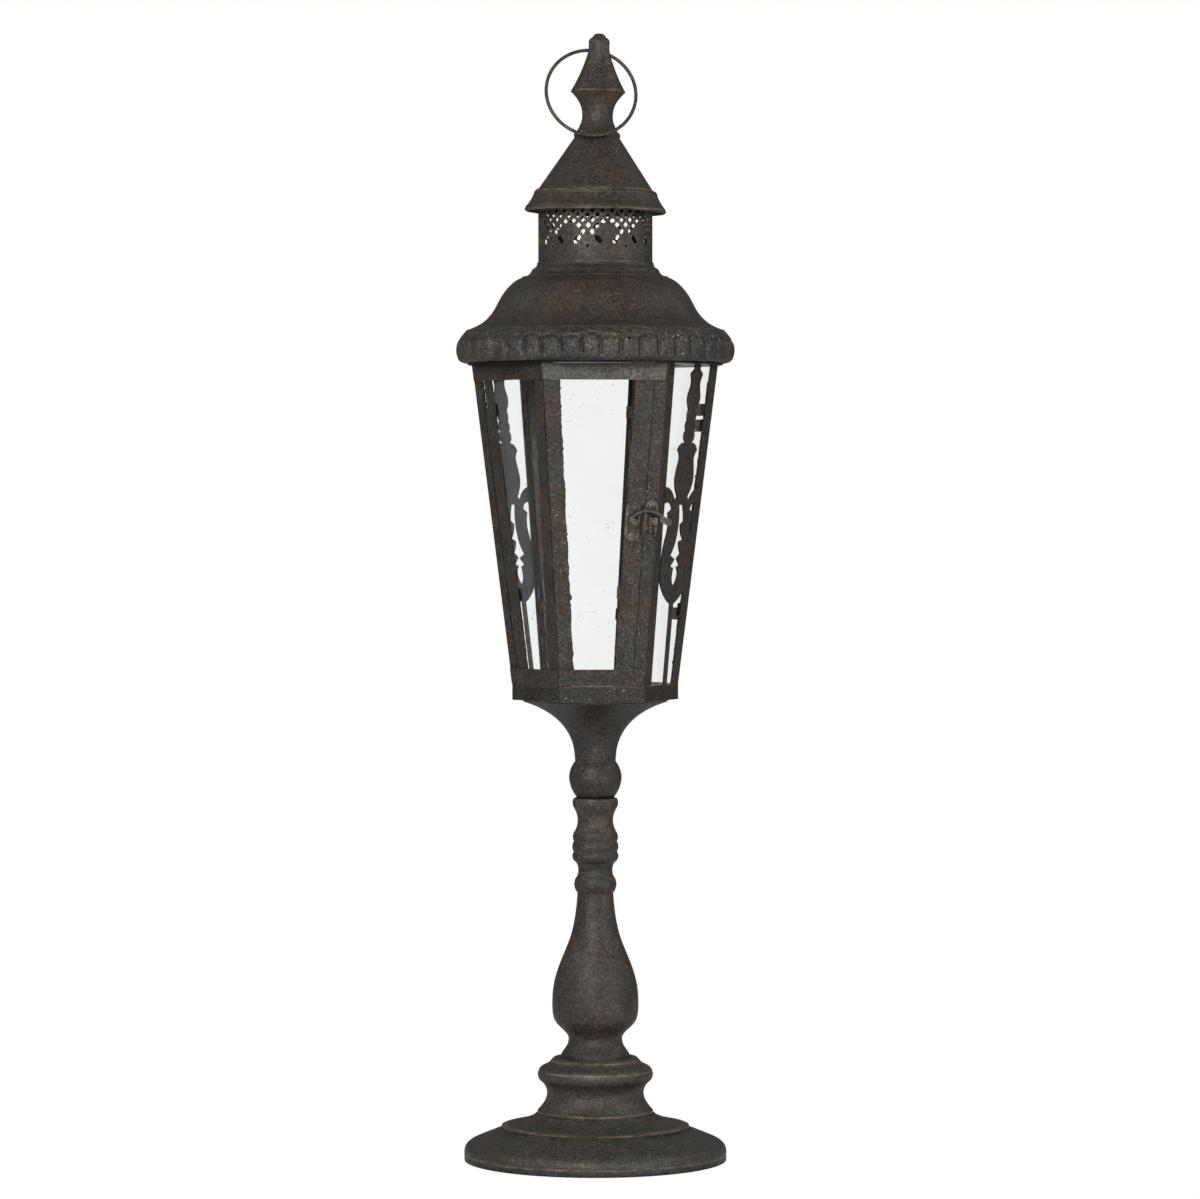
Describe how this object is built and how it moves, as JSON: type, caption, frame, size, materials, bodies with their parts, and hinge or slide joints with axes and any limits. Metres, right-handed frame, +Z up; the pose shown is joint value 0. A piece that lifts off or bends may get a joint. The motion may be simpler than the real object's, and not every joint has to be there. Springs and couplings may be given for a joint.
{
  "type": "candle lantern",
  "caption": "Tall pedestal candle lantern: round foot, turned column, flared hexagonal glass body with latched hinged door, scalloped dome roof, pierced vent, cone cap and finial ring.",
  "frame": {"origin": "centre of the foot's underside, on the column's axis", "axes": "+Z up the column, the glazed door faces -Y, +X towards the latch side of the door"},
  "size_m": [0.2276, 0.2276, 0.92],
  "materials": {
    "foot_iron": "dark mottled patina, worn edges",
    "column_bronze": "dark brown mottled patina",
    "cup_iron": "dark grey-brown patina",
    "frame_iron": "dark brown gritty patina",
    "roof_iron": "dark brown gritty patina, rust-worn edges",
    "wire": "worn brown wire",
    "latch_copper": "worn copper-brown",
    "steel": "plain zinc-grey hardware",
    "glass": "clear window glass"
  },
  "bodies": {
    "lantern": {"base_foot": "foot_iron", "base_pedestal": "foot_iron", "column": "column_bronze", "ball": "cup_iron", "cup": "cup_iron", "tie_rod": "steel", "base_washer": "steel", "base_nut": "steel", "floor_washer": "steel", "floor_plate": "frame_iron", "bottom_band": "frame_iron", "sill": "frame_iron", "hinge_post": "frame_iron", "latch_post": "frame_iron", "right_post": "frame_iron", "back_right_post": "frame_iron", "back_left_post": "frame_iron", "left_post": "frame_iron", "side_stile_left": "frame_iron", "side_stile_right": "frame_iron", "side_rail_top": "frame_iron", "side_rail_bottom": "frame_iron", "glass_front_left": "glass", "glass_front_right": "glass", "glass_back_right": "glass", "glass_back": "glass", "glass_back_left": "glass", "hinge_pin_bottom": "steel", "hinge_pin_top": "steel", "keeper_plate": "frame_iron", "keeper_plate_rivets": "frame_iron", "keeper_knob": "latch_copper", "keeper_pin": "latch_copper", "pane_tabs": "frame_iron", "ornament_front_right": "frame_iron", "ornament_back_left": "frame_iron", "roof_seat": "roof_iron", "rim_band": "roof_iron", "dome": "roof_iron", "gallery_collar": "roof_iron", "gallery": "roof_iron", "cap_skirt": "roof_iron", "cap_cone": "roof_iron", "finial_collar": "roof_iron", "finial_lower": "roof_iron", "finial_upper": "roof_iron"},
    "door": {"door_stile_left": "frame_iron", "door_stile_right": "frame_iron", "door_rail_top": "frame_iron", "door_rail_bottom": "frame_iron", "door_glass": "glass", "door_tabs": "frame_iron", "latch_plate": "frame_iron", "latch_plate_rivets": "frame_iron", "latch_pivot": "latch_copper"},
    "hook": {"latch_hook": "latch_copper"},
    "ring": {"hanging_ring": "wire"}
  },
  "joints": [
    {"name": "door_hinge", "type": "hinge", "parent": "lantern", "child": "door", "pos_m": [-0.03307, -0.05768, 0.39], "axis": [0.0623, 0.1079, -0.9922], "range_deg": [0, 105]},
    {"name": "hook_pivot", "type": "hinge", "parent": "door", "child": "hook", "pos_m": [0.0245, -0.07353, 0.522], "axis": [0, -0.9941, -0.1081], "range_deg": [0, 90]},
    {"name": "ring_swing", "type": "hinge", "parent": "lantern", "child": "ring", "pos_m": [0.00295, 0, 0.90497], "axis": [-0.977, 0, 0.213], "range_deg": [0, 325]}
  ]
}
